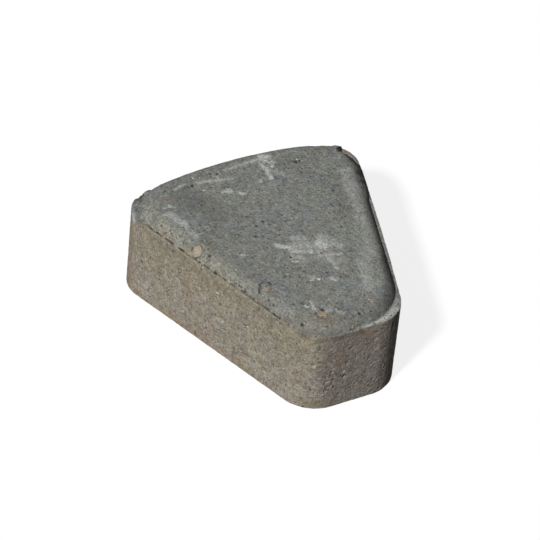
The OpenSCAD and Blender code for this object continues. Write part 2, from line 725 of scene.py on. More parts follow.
@dataclass(frozen=True)
class Weathering:
    """The stone's own marks and some painted shade, each where it lies on this stone, and the common small
    ones.
    """

    seed: int = 11
    top: float = 60.0
    # Coarse grains: place, half sizes and tone, and sometimes the turn and how proud it stands.
    grains: Rows = (
        # Tan grain, and two dull ones, on the shoulder of the left-hand flank.
        (-55.8, 11, 57.5, 3.2, 3.6, 1.9, 0.59, 0.5, 0.1), (-35.6, -35.2, 59.9, 2.7, 2.5, 1.4, 0.4, 0.9),
        (-36.4, -43.6, 58.8, 2, 1.7, 1.2, 0.24, 0.2),
        # Brown grain in the middle of the top, and ochre ones by the narrow end.
        (-3.8, 5.6, 60, 1.7, 1.2, 1, 0.5, 0.2), (-17.1, -66.9, 60, 2.7, 2.5, 1.2, 0.78, -0.4),
        (-3.7, -78.6, 55.4, 1.3, 1.3, 1.9, 0.78, 0, 0.1),
        # Cream grain in the scuff, a white one near the wide end and bright flecks.
        (-9, -21, 60, 2.3, 1.1, 0.8, 0.9, -0.5), (35.8, 60.7, 60, 1, 0.8, 0.8, 0.95),
        (-4.2, -39.8, 60, 1.2, 0.9, 0.7, 0.95), (-8.4, -38.9, 60, 1, 0.7, 0.5, 0.9, -0.5),
        (-30.7, -19.5, 60, 0.7, 0.5, 0.6, 0.86), (-62.9, 53.9, 59.6, 0.6, 0.6, 0.5, 0.9),
        (-43.7, -14, 59.7, 0.6, 0.5, 0.5, 0.9), (-28.3, 55.9, 60, 0.9, 0.7, 0.5, 0.95),
        (-18, 50.5, 60, 0.9, 0.8, 0.5, 0.95), (-29.1, 68, 60, 0.7, 1, 0.5, 0.9),
        (-47.8, 62.2, 60, 0.8, 0.7, 0.5, 0.9), (-43.5, 52.8, 60, 0.6, 0.6, 0.5, 0.86),
        (13.4, -66.4, 60, 0.8, 0.8, 0.5, 0.86), (14.2, -68.4, 60, 1.1, 1.1, 0.5, 0.7),
        (2.8, -17.3, 60, 0.7, 0.6, 0.5, 0.95), (3.7, -41.6, 60, 0.5, 0.5, 0.5, 0.9),
        # White and rusty grains and an imprint on the sides.
        (-52.9, -10.4, 42.6, 0.6, 1.4, 0.7, 1, 0.9), (-58.3, 6.1, 42.3, 1.4, 1.3, 0.9, 0.8),
        (-51.6, -14.4, 43.7, 0.5, 0.7, 0.5, 0.95), (-51.1, -16.2, 24.6, 0.9, 1, 0.6, 0.95),
        (-45.1, -34.5, 33.1, 1, 1.2, 0.6, 0.88), (-60.6, 13, 12.2, 0.7, 0.8, 0.5, 0.95),
        (-50.7, -17.3, 12, 0.5, 1, 0.5, 0.9, 0.3), (-43.6, -39.2, 17.7, 0.7, 0.9, 0.5, 0.95),
        (-40.9, -47.5, 50.6, 0.9, 1.1, 0.5, 0.7), (-6.9, -81, 24.5, 0.9, 0.8, 0.6, 1),
        (-16.7, -80.7, 18.2, 2.1, 1.9, 1.2, 0.3, 0.4),
        # Rusty crumbs in the notch by the right-hand wide corner.
        (65.8, 57.6, 57.2, 1.2, 0.9, 0.9, 0.78, 0.3), (67.6, 60.2, 55.2, 0.9, 0.9, 0.7, 0.8),
    )
    # Holes: place and radius. Here and below, a place without a height is on the flat of the top.
    holes: Rows = (
        # Along the crease of the left-hand flank, and round its dull grains.
        (-47, -20.8, 55.2, 0.7), (-46.4, -22.8, 55.3, 0.9), (-45.9, -24.3, 55.2, 0.9),
        (-44.8, -28.1, 55, 0.7), (-41, -41.4, 54.4, 0.7), (-52, 3.9, 58.6, 1.2),
        (-39.9, -34.3, 58.4, 0.7), (-31.6, -32.8, 0.8), (-31.6, -39.7, 0.9), (-33.7, -41.9, 59.9, 0.7),
        (-36.3, -42.2, 59.1, 0.7), (-38.2, -42.1, 57.8, 0.8), (-38.7, -44.8, 56.4, 0.7),
        (-37.6, -46.1, 57.1, 0.9), (-36.9, -47.6, 57.4, 0.7), (-37.4, -55, 54.2, 0.6),
        (-36, -59.6, 54.6, 0.7), (-35.1, -62.2, 54.4, 0.7), (-33.4, -65.6, 54.3, 0.8),
        (-31.6, -68.3, 54.2, 0.6), (-28.7, -67.3, 55.4, 0.9),
        # On the top, and along its edge at the narrow end.
        (-19, 7.4, 1.4), (-20.9, 8.3, 0.9), (-14.8, 15.5, 1), (-9.6, 17.4, 1.1), (-7.4, 13.8, 0.8),
        (-6.9, 3.7, 0.9), (-0.5, 1.3, 0.9), (7.5, 1.6, 1), (11.2, -5.1, 0.9), (30.4, -3.8, 1),
        (34.2, 59.1, 1.3), (36.6, 58.6, 0.9), (-32.8, 62.4, 1.2), (-35.5, 62.1, 0.9),
        (-17.5, 68.2, 0.9), (-13.8, 66.6, 1), (-9.5, -16.5, 1.2), (-5.1, -61.1, 0.9),
        (-1.9, -63.3, 0.9), (-11.3, -68.8, 0.8), (12.8, -68.7, 0.85), (3.1, -74.2, 59.4, 1.1),
        (-15, -63.7, 1.2), (-19.5, -64.1, 0.9), (-28.9, -67.1, 55.3, 1.2), (-5.6, -79, 54.1, 0.6),
        # On the narrow end and the left-hand flank, and the notch by the right-hand wide corner.
        (-15.7, -80.9, 26.8, 1), (-18.6, -80.4, 18.6, 0.9), (-13.5, -81, 15, 0.8),
        (-46, -31.9, 32.8, 0.9), (-45.7, -32.8, 31.7, 0.7), (-57.4, 3.4, 2.8, 0.8),
        (65.5, 60.8, 57.6, 1),
    )
    # Crumbs off the ledge at the left-hand wide corner, and wear at the right-hand one: place,
    # radius and depth.
    crumbs: Rows = ((-61, 71, 54, 5.2, 2), (-50.5, 75.6, 54, 4.6, 1.6))
    worn: Rows = ((60, 74, 60, 20, 1.1), (62, 64, 59, 9, 0.9))
    # Smears: both ends, width and strength. First come those on the flat of the top.
    # Scuffs, bare sand and knocks, which are pale.
    scuffs: Rows = (
        # Towards the wide end.
        (-44, 62.8, -36.4, 64.9, 1.1, 0.6), (-28, 63.4, -16, 60.6, 1.9, 0.5),
        (-16, 60.6, -8.3, 58.9, 1.4, 0.5), (-15.8, 64.2, -15.8, 60.6, 1.1, 0.6),
        (-8.4, 67.6, 8.5, 68.9, 1.4, 0.5), (8.5, 68.9, 21.7, 68.9, 1.5, 0.6),
        (16.5, 67.5, 20, 64, 2.8, 0.8), (13.6, 65, 14, 60, 2, 0.6), (20, 61.5, 18.6, 60.2, 1.4, 0.8),
        (14.8, 60, 13.7, 54.4, 2.2, 0.7), (13.9, 52.4, 12.6, 50.4, 1.6, 1),
        (6.8, 51.4, 6.2, 49.8, 1, 0.8), (17, 72, 20, 69.5, 2.8, 0.95), (18, 55, 20, 53, 3, 0.35),
        (-18.5, 50.3, -14.5, 49.4, 2.3, 0.8), (-10.5, 45.4, -8, 43.8, 1.6, 0.8),
        (-57.5, 49.8, -52.7, 50.3, 1.3, 0.6),
        # By the left-hand shoulder.
        (-36.3, -3.3, -34, -4.8, 1.3, 0.6), (-60, 44.6, -58.5, 43.8, 0.9, 0.9),
        (-56.5, 42.5, -53.8, 33, 4.2, 0.5), (-53.4, 31, -51.2, 20.5, 2.6, 0.45),
        # In the middle.
        (-12.2, -5, -7, -8.7, 3, 0.95), (-3, -8.5, 5, -13.5, 5, 0.42),
        (-6.5, -12.8, 2.5, -17.3, 2.2, 0.8), (11, -12, 12.5, -15.5, 4.6, 0.85),
        (-1.5, -2, 4, -5, 3, 0.45), (-9, -17, -4, -19.5, 2.8, 0.4), (-7.5, -36, -6, -38.5, 3, 0.35),
        (5, -17, 6.6, -18.6, 2.6, 0.4), (14, -9, 20, -18, 5, 0.4), (5.2, -21.7, 17.9, -25.6, 1.8, 0.55),
        (9.2, -26.4, 10, -31, 2.6, 0.5), (2, -16, 11, -27, 8, 0.22), (9.6, -35, 10.2, -36, 1.2, 1),
        (2.4, -42, 4.2, -44, 1.8, 0.6),
        # By the right-hand shoulder.
        (56.5, 40, 37, -30, 5, 0.24), (35, -28, 27, -36, 6, 0.2), (25, -38, 19, -56, 5, 0.35),
        # Towards the narrow end.
        (-17.9, -55.2, -19.3, -62.5, 1.4, 0.6), (-22.6, -57.4, -21.8, -58.6, 1.2, 1),
        (-13.8, -65.6, -11, -66.2, 1.2, 0.6), (-8.2, -67, -6, -71, 1.6, 0.4),
        # On the shoulder and the ledge.
        (-17.1, -70.2, 59.6, -20.9, -73, 56.6, 0.8, 1), (-26.5, -68, 57.1, -26.5, -69.5, 55.5, 0.8, 1),
        (3, -79.8, 54, 16, -79.2, 54, 1.4, 0.22), (16, -79, 54, 27, -73, 54, 3, 0.5),
        (27, -73, 54, 32, -64, 54, 2.5, 0.25), (5.5, -80, 54, 7, -80, 54, 0.8, 1),
        (9, -79.8, 54, 19.5, -77.5, 54, 1.2, 0.85), (19.5, -77.5, 54, 24, -75, 54, 1.4, 0.7),
        # On the left-hand flank.
        (-55, -3.5, 50, -54.5, -6, 49, 3, 0.35), (-73, 59, 54, -73, 56, 51.5, 2.4, 1),
        (-43.5, -39, 21, -42.5, -43, 19, 5, 0.3), (-52.2, -12.6, 24.7, -51, -16.5, 24.8, 1.7, 0.6),
        (-38, -57, 50.5, -33, -70.5, 50.5, 3.6, 0.3), (-59.5, 9, 53.5, -58, 5, 52.5, 3, 0.3),
        # On the narrow end.
        (-29.5, -74, 47, -28, -76, 45.5, 3, 0.3),
    )
    # Rusty and earthy stains.
    rust: Rows = (
        # On the flat of the top.
        (-52.6, 58.8, -50.7, 54.2, 1.6, 0.45), (10, 75.5, 14, 72.5, 2, 0.4),
        (-49.6, 9.8, -49, 8.6, 1.4, 0.6), (5.4, -18.4, 11.3, -21.9, 2.2, 0.3),
        (16.5, -61.5, 17.5, -63, 4, 0.25),
        # On the shoulder and the ledge.
        (-65, 37.5, 56.5, -62.5, 33, 57.6, 2.4, 0.25), (67, 63, 54.4, 70.5, 58.5, 54, 2.2, 1),
        (-22, -70, 59, -11, -73, 59, 5, 0.2), (-59, 15, 56, -57.5, 12.5, 56, 2.6, 0.4),
        (-42, -37.5, 54.5, -41.2, -40, 54.5, 3, 0.35), (-5, -78.2, 56, -2.5, -78, 56, 2.2, 0.4),
        # On the left-hand flank.
        (-71, 62, 40, -72.5, 56, 4, 5, 0.3), (-72.3, 53, 6, -71.5, 48, 3, 3, 0.6),
        (-66, 30, 2, -45, -38, 2, 4.5, 0.4), (-60, 10, 39, -61, 13, 36, 2.6, 0.45),
        (-58.4, 6.6, 42.2, -58.3, 5.8, 41.4, 1.6, 0.9), (-60, 12, 30, -58, 4, 22, 5, 0.25),
        # On the narrow end.
        (2, -81, 48.5, 9, -81, 47.5, 2.6, 0.75), (10, -81, 49.5, 11, -81, 44, 1.4, 0.55),
        (-10.5, -81, 38, -10, -81, 30, 2.6, 0.65), (-24, -79, 3, -14, -81, 3, 4, 0.4),
    )
    # Dark, damp casts, with painted shade on the shoulders where they turn from the key light, and the dark
    # lip below the ledge, which is painted shadow.
    damp_and_shade: Rows = (
        # On the flat of the top.
        (40, 62, 46, 58, 4, 0.3), (-7, 69, -4, 67.5, 3, 0.35), (29, 64, 33, 49, 8, 0.3),
        (-42, 56, -32, 33, 13, 0.55), (-40, 21, -33, 8, 5, 0.35), (-35, -39.5, -34, -43, 3, 0.4),
        (-49, 14, -37, -30, 7, 0.25), (44, -8, 38, -28, 3.5, 0.5), (22, -40, 26, -43, 3.5, 0.3),
        (46, 37, 38, 5, 6, 0.35), (-5, -71, 4, -67, 4.5, 0.3),
        # On the shoulder and the ledge, partly painted shade.
        (-37, -40.5, 59.5, -36, -43.5, 59.2, 2.2, 0.6), (4.5, -76.5, 58, 9, -75.8, 58, 3.2, 0.6),
        (-55.5, 21, 59.5, -54.3, 17, 59.5, 2.4, 0.4), (-36, -60, 55, -30, -72, 55, 6, 0.75),
        (-30, -72, 55, -18, -79, 55, 4.5, 0.6), (-24, -72, 58, 20, -73, 58, 5, 0.4),
        # These two rows and the next paint shade on the right-hand shoulder, from the narrow end's corner
        # back, where it turns from the key light.
        (20, -73, 58, 31, -60, 58, 5, 0.8), (31, -62, 57.5, 40, -35, 57, 5, 1),
        (67, 51, 57, 62, 26, 57, 7.5, 1), (-43, -34, 56, -38, -48, 56, 4, 0.4),
        (-71.5, 65, 54, -62, 71.5, 54, 1.4, 0.7), (-56, 74, 54, -48, 76.5, 54, 1.4, 0.9),
        # On the left-hand flank.
        (-60.6, 13, 31.5, -60, 11, 30, 4.5, 0.35), (-46.5, -30, 16, -45, -35, 14.5, 3.5, 0.35),
        (-53, -8, 50, -45, -34, 49, 7, 0.15), (-45, -34, 50, -39, -52, 50, 6, 0.2),
        (-69, 40, 50, -64, 20, 50, 5, 0.3), (-60, 14, 50, -53, -8, 50, 6, 0.3),
        # On the narrow end.
        (-27, -76.5, 5, -25, -77.5, 3, 3.5, 0.4), (-20, -79.5, 50, -20, -80, 25, 5, 0.4),
        # The second row here and the next are the dark lip: painted shadow just below the ledge.
        (-28, -76, 2, -14, -81, 2, 3, 0.3), (-26, -79, 52, -12, -81, 51.6, 3.2, 0.7),
        (-12, -81, 51.6, 2, -81, 50.5, 2.2, 0.6),
    )
    # Cracks round the dull grain and the imprint, the crease beyond the left-hand flank, and painted shade
    # down the foot of the right-hand shoulder.
    cracks_and_shade: Rows = (
        # On the flat of the top.
        (-32.9, -30.9, -31.6, -32.5, 0.75, 0.9), (-31.6, -32.5, -32.1, -35, 0.7, 0.7),
        # On the shoulder and the ledge.
        (-35.9, -60, 54, -32, -67.7, 54, 1, 0.5), (-40.3, -35.5, 58.2, -39.1, -33, 59.1, 0.75, 0.9),
        (-39.1, -33, 59.1, -37, -31.1, 59.9, 0.75, 0.85),
        # The second row here is painted shade down the right-hand shoulder's foot.
        (-37, -31.1, 59.9, -35.2, -30.5, 60, 0.7, 0.7), (67.3, 50, 57, 62, 29, 57, 4.6, 0.8),
        # On the narrow end.
        (-18.8, -80.4, 18.2, -18.4, -80.5, 15.2, 0.8, 0.8),
        (-18.4, -80.5, 15.2, -16.4, -80.8, 13.6, 0.8, 0.6),
    )
    # Tones that a chance grain may have, the common ones more than once.
    tones: tuple[float, ...] = (0.1, 0.3, 0.3, 0.4, 0.5, 0.66, 0.86)

    def spot(self, place: Sequence[float]) -> Vector:
        """Return a place, on the flat of the top if it has no height."""
        return Vector((*place, self.top)[:3])

    def pebbles(self) -> Iterator[Pebble]:
        """Yield the coarse grains that stand out."""
        for x, y, z, a, b, c, *rest in self.grains:
            yield Pebble(Vector((x, y, z)), (a, b, c), *rest)

    def pits(self) -> Iterator[Pit]:
        """Yield the holes that stand out."""
        for *place, r in self.holes:
            yield Pit(self.spot(place), r, r)

    def breaks(self) -> Iterator[Chip | Wear]:
        """Yield the crumbs that broke off, and the worn places."""
        for kind, rows in ((Chip, self.crumbs), (Wear, self.worn)):
            for *place, r, depth in rows:
                yield kind(Vector(place), r, depth)

    def smears(self) -> Iterator[Smear]:
        """Yield the scuffs, stains and cracks, and the painted shade among the dark casts and cracks."""
        kinds = (Mark.PALE, Mark.WARM, Mark.DUSKY, Mark.HOLLOW)
        for mark, rows in zip(kinds, (self.scuffs, self.rust, self.damp_and_shade, self.cracks_and_shade)):
            for *ends, width, strength in rows:
                half = len(ends) // 2
                yield Smear(self.spot(ends[:half]), self.spot(ends[half:]), width, mark, strength)

    def scattered(self, skin: Skin, form: StoneForm) -> Iterator[Pit | Pebble]:
        """Yield small holes and grains at chance places, more on the upright sides.

        Args:
            skin: The surface.
            form: The form that it covers.

        Returns:
            The holes, and then the grains.
        """
        chance = random.Random(self.seed)
        upright = [v.co.copy() for v in skin.verts if abs(v.normal.z) < 0.5 and 3.0 < v.co.z < 51.0]
        level = [v.co.copy() for v in skin.verts if v.normal.z > 0.8]
        low = [v.co.copy() for v in skin.verts if v.co.z < 0.1]
        bed = [spot for spot in low if form.plan.depth(spot.xy, form.skin) > 5.0]
        for spots, count, smallest, largest in (
            (upright, 420, 0.5, 1.3),
            (level, 240, 0.45, 0.9),
            (bed, 90, 1.6, 2.6),
        ):
            for place in chance.choices(spots, k=count):
                r = mix(smallest, largest, chance.random() ** 4)
                yield Pit(place, r, 0.6 * r, 0.55)
        for spots, count in ((upright, 30), (level, 8)):
            for place in chance.choices(spots, k=count):
                r = mix(0.5, 1.4, chance.random() ** 2)
                size = (r, r * chance.uniform(0.6, 1.0), 0.6 * r)
                tone = chance.choice(self.tones)
                yield Pebble(place, size, tone, chance.uniform(0, math.pi))


@dataclass(frozen=True)
class Facing:
    """The thin grey facing of the pressed top, and the olive film on its left-hand shoulder."""

    thickness: float = 0.3
    foot_band: float = 0.2
    # The left-hand wide corner, where the facing runs deeper.
    far_x: Pair = (-62.0, -70.0)
    far_y: Pair = (46.0, 55.0)
    far_drop: float = 3.8
    # The left-hand shoulder, where the film lies and the facing is worn, weaker by the narrow end.
    flank: Pair = (-22.0, -40.0)
    weak: Pair = (-45.0, -5.0)
    flank_end: Pair = (64.0, 54.0)
    worn: Pair = (-0.4, 1.6)
    bare: float = 0.7
    film_foot: Pair = (-1.0, 0.5)
    film_top: Pair = (11.5, 3.0)
    # The narrow end's left-hand corner, with a film of its own.
    corner_x: Pair = (2.0, -20.0)
    corner_y: Pair = (-50.0, -62.0)
    corner_film: float = 0.9

    def apply(self, skin: Skin, form: StoneForm) -> None:
        """Mark where the facing and the film lie, before anything is cut.

        Args:
            skin: The surface.
            form: The form that it covers.
        """
        foot = form.foot
        for v in skin.verts:
            x, y, z = v.co
            far_corner = ease(*self.far_x, x) * ease(*self.far_y, y)
            up = z + self.far_drop * far_corner * (1 + 0.5 * waves(v.co, 3.0)) - foot.z
            if up < -self.thickness or (v.normal.z < 0.5 and up < self.foot_band):
                continue
            near_flank = ease(*self.flank, x) * mix(0.5, 1.0, ease(*self.weak, y))
            near_flank *= ease(*self.flank_end, y)
            near_corner = self.corner_film * ease(*self.corner_x, x) * ease(*self.corner_y, y)
            inset = form.plan.depth(v.co.xy, foot)
            film = max(near_flank * ease(*self.film_foot, inset), near_corner)
            skin.mark(v, Mark.FILM, film * ease(*self.film_top, inset))
            bared = self.bare * near_flank * (1 - far_corner)
            skin.mark(v, Mark.FACING, mix(1.0, ease(*self.worn, inset), bared))


# ---- Material --------------------------------


class Wire:
    """A value or a colour on its way through a material, with arithmetic that adds nodes."""

    def __init__(self, graph: "Graph", socket: NodeSocket) -> None:
        """Keep the graph and the socket that the wire starts from."""
        self.graph = graph
        self.socket = socket

    def __add__(self, other: "Wire | float") -> "Wire":
        """Return the sum."""
        return self.graph.maths("ADD", self, other)

    def __sub__(self, other: "Wire | float") -> "Wire":
        """Return the difference."""
        return self.graph.maths("SUBTRACT", self, other)

    def __rsub__(self, other: float) -> "Wire":
        """Return the difference from a number."""
        return self.graph.maths("SUBTRACT", other, self)

    def __mul__(self, other: "Wire | float") -> "Wire":
        """Return the product."""
        return self.graph.maths("MULTIPLY", self, other)

    __radd__ = __add__
    __rmul__ = __mul__


class Graph:
    """The nodes of one material or world."""

    def __init__(self, owner: Material | World) -> None:
        """Start without nodes.

        Args:
            owner: The material or world, whose nodes are cleared.
        """
        owner.use_nodes = True
        self.owner = owner
        self.tree = owner.node_tree
        self.tree.nodes.clear()

    def node(self, kind: str, settings: dict | None = None, sockets: dict | None = None) -> Node:
        """Add a node.

        Args:
            kind: The node's type.
            settings: Its properties, set before its sockets. A ramp's stops are a list of
                places and colours.
            sockets: Its inputs, by name or number, as values or wires.

        Returns:
            The node.
        """
        made = self.tree.nodes.new(kind)
        for name, value in (settings or {}).items():
            if name == "stops":
                self._set_stops(made.color_ramp, value)
            else:
                setattr(made, name, value)
        for name, value in (sockets or {}).items():
            if isinstance(value, Wire):
                self.tree.links.new(value.socket, made.inputs[name])
            else:
                made.inputs[name].default_value = value
        return made

    @staticmethod
    def _set_stops(ramp: ColorRamp, stops: Sequence[tuple[float, Colour]]) -> None:
        """Give a ramp its stops.

        Args:
            ramp: The ramp.
            stops: The place and the colour of each stop.
        """
        while len(ramp.elements) < len(stops):
            ramp.elements.new(0.5)
        for stop, (place, value) in zip(ramp.elements, stops):
            stop.position = place
            stop.color = (*value, 1)

    def out(self, made: Node, socket: str | int = 0) -> Wire:
        """Return the wire from one of a node's outputs."""
        return Wire(self, made.outputs[socket])

    def maths(self, work: str, *terms: Wire | float) -> Wire:
        """Return the result of a Math node on the terms."""
        return self.out(self.node("ShaderNodeMath", {"operation": work}, dict(enumerate(terms))))

    def step(self, low: float, high: float, wire: Wire) -> Wire:
        """Return a smooth step of a value, from 0 at low to 1 at high."""
        sockets = {"Value": wire, "From Min": low, "From Max": high}
        return self.out(self.node("ShaderNodeMapRange", {"interpolation_type": "SMOOTHSTEP"}, sockets))

    def blend(self, share: Wire | float, a: Wire | Colour, b: Wire | Colour) -> Wire:
        """Return the colour a share of the way from a to b."""
        a, b = (value if isinstance(value, Wire) else (*value, 1.0) for value in (a, b))
        return self.out(self.node("ShaderNodeMix", {"data_type": "RGBA"}, {0: share, 6: a, 7: b}), 2)

    @cached_property
    def at(self) -> Wire:
        """Place on the object, in millimetres."""
        return self.scale(self.out(self.node("ShaderNodeTexCoord"), "Object"), 1 / MM)

    def scale(self, vector: Wire, by: Wire | float) -> Wire:
        """Return a colour or a vector, scaled by a value."""
        sockets = {0: vector, "Scale": by}
        return self.out(self.node("ShaderNodeVectorMath", {"operation": "SCALE"}, sockets))

    def moved(self, shift: float, stretch: Triple = (1.0, 1.0, 1.0)) -> Wire:
        """Return the place stretched and moved along, so that a pattern on it differs."""
        sockets = {0: self.at, 1: stretch, 2: (shift, shift, shift)}
        return self.out(self.node("ShaderNodeVectorMath", {"operation": "MULTIPLY_ADD"}, sockets))

    def attribute(self, mark: Mark) -> Wire:
        """Return one of the mesh's own values."""
        return self.out(self.node("ShaderNodeAttribute", {"attribute_name": mark.value}), "Fac")

    def noise(self, size: float, detail: float = 2.0, rough: float = 0.5, at: Wire | None = None) -> Wire:
        """Return smooth noise about 0.

        Args:
            size: The size of its features, in millimetres.
            detail: How many finer layers it has.
            rough: How strong the finer layers are.
            at: The place, where it isn't the plain one.

        Returns:
            The noise, from -0.5 to 0.5.
        """
        sockets = {"Vector": at or self.at, "Scale": 1 / size, "Detail": detail, "Roughness": rough}
        return self.out(self.node("ShaderNodeTexNoise", {}, sockets), "Fac") - 0.5

    def seen(self) -> Wire:
        """Return 1 on the rays that show the setting, and 0 on those that light the stone."""
        path = self.node("ShaderNodeLightPath")
        shown = self.maths("MAXIMUM", self.out(path, "Is Camera Ray"), self.out(path, "Is Glossy Ray"))
        return self.maths("MAXIMUM", shown, self.out(path, "Is Transmission Ray"))

    def grains(self, size: float, shift: float) -> tuple[Wire, Wire, Wire]:
        """Return a pattern of grains.

        Args:
            size: The grains' spacing, in millimetres.
            shift: How far the pattern is moved along.

        Returns:
            The distance from the middle of each grain, and two random values per grain.
        """
        made = self.node("ShaderNodeTexVoronoi", {}, {"Vector": self.moved(shift), "Scale": 1 / size})
        parts = self.node("ShaderNodeSeparateColor", {}, {0: self.out(made, "Color")})
        return self.out(made, "Distance"), self.out(parts, 0), self.out(parts, 1)


def srgb(red: int, green: int, blue: int) -> Colour:
    """Return display values from 0 to 255 as a linear colour."""
    parts = [c / 255 for c in (red, green, blue)]
    return tuple(c / 12.92 if c <= 0.04045 else ((c + 0.055) / 1.055) ** 2.4 for c in parts)


@dataclass(frozen=True)
class PressedConcrete:
    """Bare pressed concrete: bluish dark grey on top, warmer and browner on the sides."""

    top: Colour = srgb(119, 120, 113)
    top_cool: Colour = srgb(113, 117, 115)
    top_warm: Colour = srgb(121, 119, 114)
    film: Colour = srgb(121, 120, 111)
    side_olive: Colour = srgb(136, 128, 113)
    side_mauve: Colour = srgb(140, 132, 121)
    side_cool: Colour = srgb(133, 132, 123)
    side_high: Colour = srgb(131, 124, 104)
    end_mauve: Colour = srgb(136, 129, 121)
    chalk: Colour = srgb(206, 208, 202)
    sand: Colour = srgb(186, 176, 150)
    rust: Colour = srgb(142, 112, 82)
    # Colours of the dark casts and painted shade: on the top, and on the sides.
    shade: Colour = srgb(76, 75, 72)
    earth_and_shade: Colour = srgb(82, 74, 60)
    # Painted shade and dirt in hollows, creases, cracks and pores.
    shade_and_dirt: Colour = srgb(38, 33, 29)
    grain_pale: Colour = srgb(196, 194, 186)
    grain_dark: Colour = srgb(66, 65, 62)
    sand_size: float = 0.95
    stone_size: float = 2.4
    bump: float = 0.25
    roughness: float = 0.9
    specular: float = 0.06
    pebble_tones: tuple[tuple[float, Colour], ...] = (
        (0.1, srgb(90, 90, 90)),
        (0.3, srgb(122, 118, 110)),
        (0.5, srgb(140, 131, 119)),
        (0.66, srgb(166, 153, 131)),
        (0.8, srgb(152, 130, 98)),
        (0.88, srgb(176, 170, 156)),
        (1.0, srgb(208, 206, 198)),
    )

    def make(self) -> Material:
        """Make the material.

        Returns:
            The material, which reads Object coordinates and the values that the mesh carries.
        """
        g = Graph(bpy.data.materials.new(SLOT))
        sand_away, sand_pick, sand_tone = g.grains(self.sand_size, 0.0)
        stone_away, stone_pick, stone_tone = g.grains(self.stone_size, 50.0)
        fine = g.noise(0.5, rough=0.6)
        coarse = g.noise(1.5, rough=0.6)
        stone = g.step(0.5, 0.38, stone_away) * g.step(0.6, 0.75, stone_pick)
        light = 1.0 + 0.74 * fine + 1.25 * coarse + 0.9 * g.noise(4.0, at=g.moved(9.0))
        light = light + 0.4 * (sand_tone - 0.5) + 0.15 * g.noise(11.0, at=g.moved(5.0))
        base = g.scale(self._ground(g), light + 0.4 * stone * (stone_tone - 0.4))
        base = self._specks(g, base, sand_away, sand_pick)
        pores = g.step(0.3, 0.12, stone_away + 0.6 * fine) * g.step(0.2, 0.1, stone_pick)
        base = self._marks(g, base, pores)
        height = 0.6 * fine - 0.3 * sand_away + 1.3 * coarse + 0.35 * stone - pores
        bump = g.node("ShaderNodeBump", {}, {"Strength": 1.0, "Distance": self.bump * MM, "Height": height})
        looks = {"Base Color": base, "Roughness": self.roughness, "Normal": g.out(bump)}
        looks["Specular IOR Level"] = self.specular
        shader = g.node("ShaderNodeBsdfPrincipled", {}, looks)
        g.node("ShaderNodeOutputMaterial", {}, {"Surface": g.out(shader)})
        return g.owner

    def _ground(self, g: Graph) -> Wire:
        """Lay the broad tones: the top's facing over the browner sides.

        Args:
            g: The material's nodes.

        Returns:
            The colour.
        """
        hue = g.step(-0.14, 0.14, g.noise(9.0, at=g.moved(20.0)))
        cool = g.step(-0.05, 0.25, g.noise(7.0, at=g.moved(40.0)))
        uneven = g.noise(18.0, 3.0)
        place = g.node("ShaderNodeSeparateXYZ", {}, {0: g.at})
        high = g.step(22.0, 46.0, g.out(place, "Z") + 40.0 * uneven)
        narrow_end = g.step(-77.0, -80.5, g.out(place, "Y"))
        side = g.blend(0.7 * cool, g.blend(hue, self.side_olive, self.side_mauve), self.side_cool)
        side = g.blend(0.45 * high, side, self.side_high)
        side = g.blend(0.8 * narrow_end, side, self.end_mauve)
        tint = g.blend(hue, self.top_warm, self.top_cool)
        top = g.blend(g.step(-0.14, 0.14, uneven), self.top, tint)
        top = g.blend(0.5 * cool, top, self.top_cool)
        top = g.blend(g.attribute(Mark.FILM), top, self.film)
        facing = g.step(0.25, 0.75, g.attribute(Mark.FACING) + 0.6 * g.noise(2.6, 3.0, 0.6))
        return g.blend(facing, side, top)

    def _specks(self, g: Graph, base: Wire, sand_away: Wire, sand_pick: Wire) -> Wire:
        """Lay single pale and dark grains of sand over a colour.

        Args:
            g: The material's nodes.
            base: The colour so far.
            sand_away: The distance from the middle of each grain of sand.
            sand_pick: A random value per grain.

        Returns:
            The colour.
        """
        core = g.step(0.6, 0.25, sand_away)
        fleck = g.step(0.13, 0.24, g.noise(1.1, rough=0.6, at=g.moved(70.0)))
        base = g.blend(0.5 * fleck, base, self.grain_pale)
        base = g.blend(0.45 * core * g.step(0.95, 1.0, sand_pick), base, self.grain_pale)
        return g.blend(0.7 * core * g.step(0.1, 0.0, sand_pick), base, self.grain_dark)

    def _marks(self, g: Graph, base: Wire, pores: Wire) -> Wire:
        """Lay the stains, scuffs and grains that the mesh carries over a colour, and the painted shade:
        dark casts with shade on shoulders and below the ledge, and shade and dirt in hollows and pores.

        Args:
            g: The material's nodes.
            base: The colour so far.
            pores: Where small pores lie, which the colour darkens with painted shade and dirt.

        Returns:
            The colour.
        """
        facing = g.attribute(Mark.FACING)
        # Dark casts and painted shade.
        dusky = g.attribute(Mark.DUSKY) * (0.8 + 0.8 * g.noise(3.0))
        base = g.blend(0.75 * dusky, base, g.blend(facing, self.earth_and_shade, self.shade))
        warm = g.attribute(Mark.WARM) * (0.8 + 2.0 * g.noise(2.2, 3.0))
        base = g.blend(0.8 * warm, base, self.rust)
        tone = g.attribute(Mark.PEBBLE)
        pebble = g.out(g.node("ShaderNodeValToRGB", {"stops": self.pebble_tones}, {0: tone}))
        pebble = g.scale(pebble, 1.0 + 0.9 * g.noise(1.0, 3.0, 0.6))
        film = g.step(0.14, -0.12, g.noise(1.2, 3.0, 0.65, g.moved(3.0)))
        base = g.blend(g.step(0.02, 0.3, tone) * (0.32 + 0.58 * film), base, pebble)
        drawn = g.moved(0.0, stretch=(1.0, 1.5, 1.0))
        scraped = g.step(-0.12, 0.2, g.noise(1.5, 3.0, 0.65, drawn))
        pale = 1.12 * g.attribute(Mark.PALE) * (0.22 + 0.78 * scraped)
        base = g.blend(pale, base, g.blend(facing, self.sand, self.chalk))
